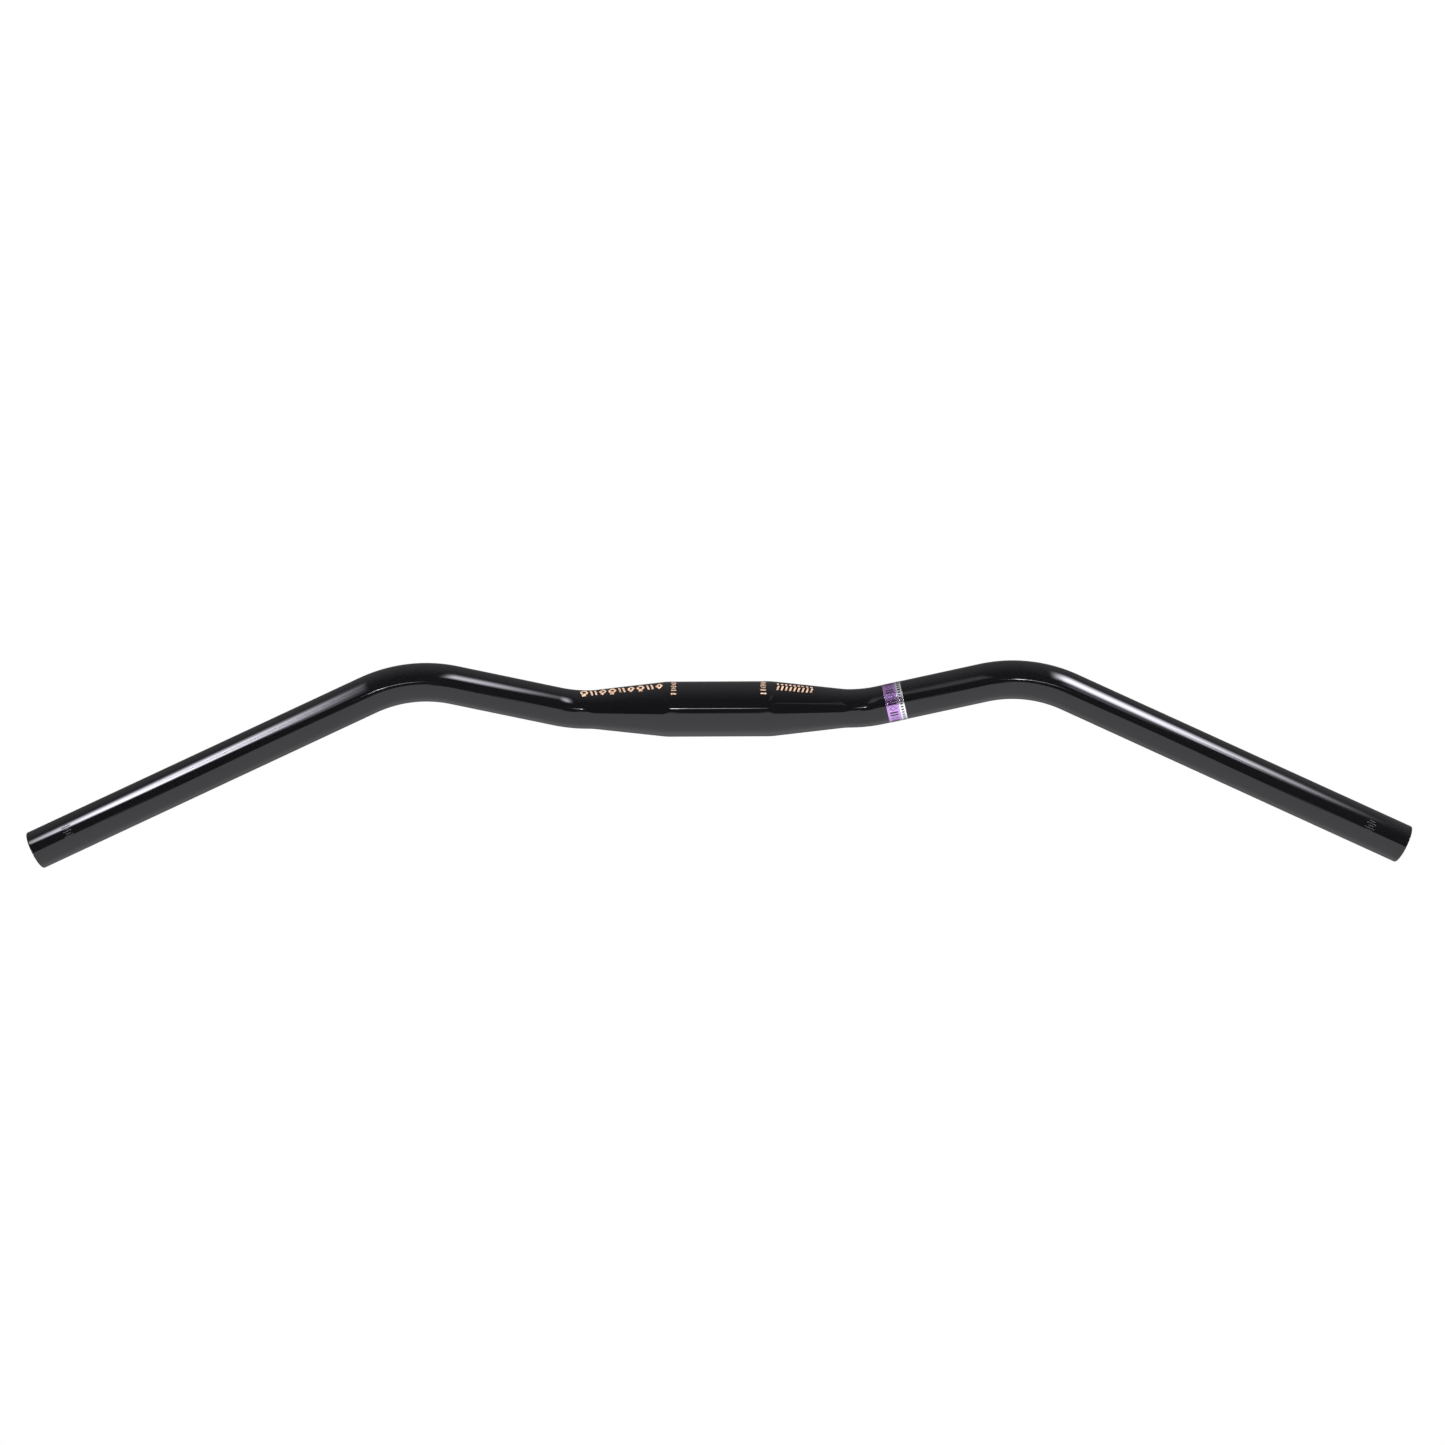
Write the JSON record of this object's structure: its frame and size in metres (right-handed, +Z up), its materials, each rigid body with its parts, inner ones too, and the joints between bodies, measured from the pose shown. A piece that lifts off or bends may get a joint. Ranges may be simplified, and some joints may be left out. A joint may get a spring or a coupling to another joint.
{
  "type": "bicycle handlebar",
  "caption": "Low-rise swept-back bicycle handlebar: a gloss black aluminium tube with a bulged clamp area, open ends, gold side graphics and a foil wrap label.",
  "frame": {"origin": "centre of the clamp area, on the tube's axis", "axes": "+X to the rider's right along the clamp area's axis, +Y forward, +Z up"},
  "size_m": [0.7846, 0.1154, 0.0474],
  "materials": {
    "bar_tube": "gloss black coat over aluminium",
    "purple_foil": "mirror-like purple foil",
    "silver_foil": "mirror-like silver foil",
    "label_print": "gloss black ink",
    "gold_ink": "satin gold ink",
    "laser_mark": "matt grey"
  },
  "bodies": {
    "root": {"bar_tube": "bar_tube", "label_purple_band": "purple_foil", "label_silver_band": "silver_foil", "label_print": "label_print", "left_side_graphic": "gold_ink", "right_side_graphic": "gold_ink", "left_clamp_scale": "gold_ink", "right_clamp_scale": "gold_ink", "left_end_marks": "laser_mark", "right_end_marks": "laser_mark"}
  },
  "joints": []
}
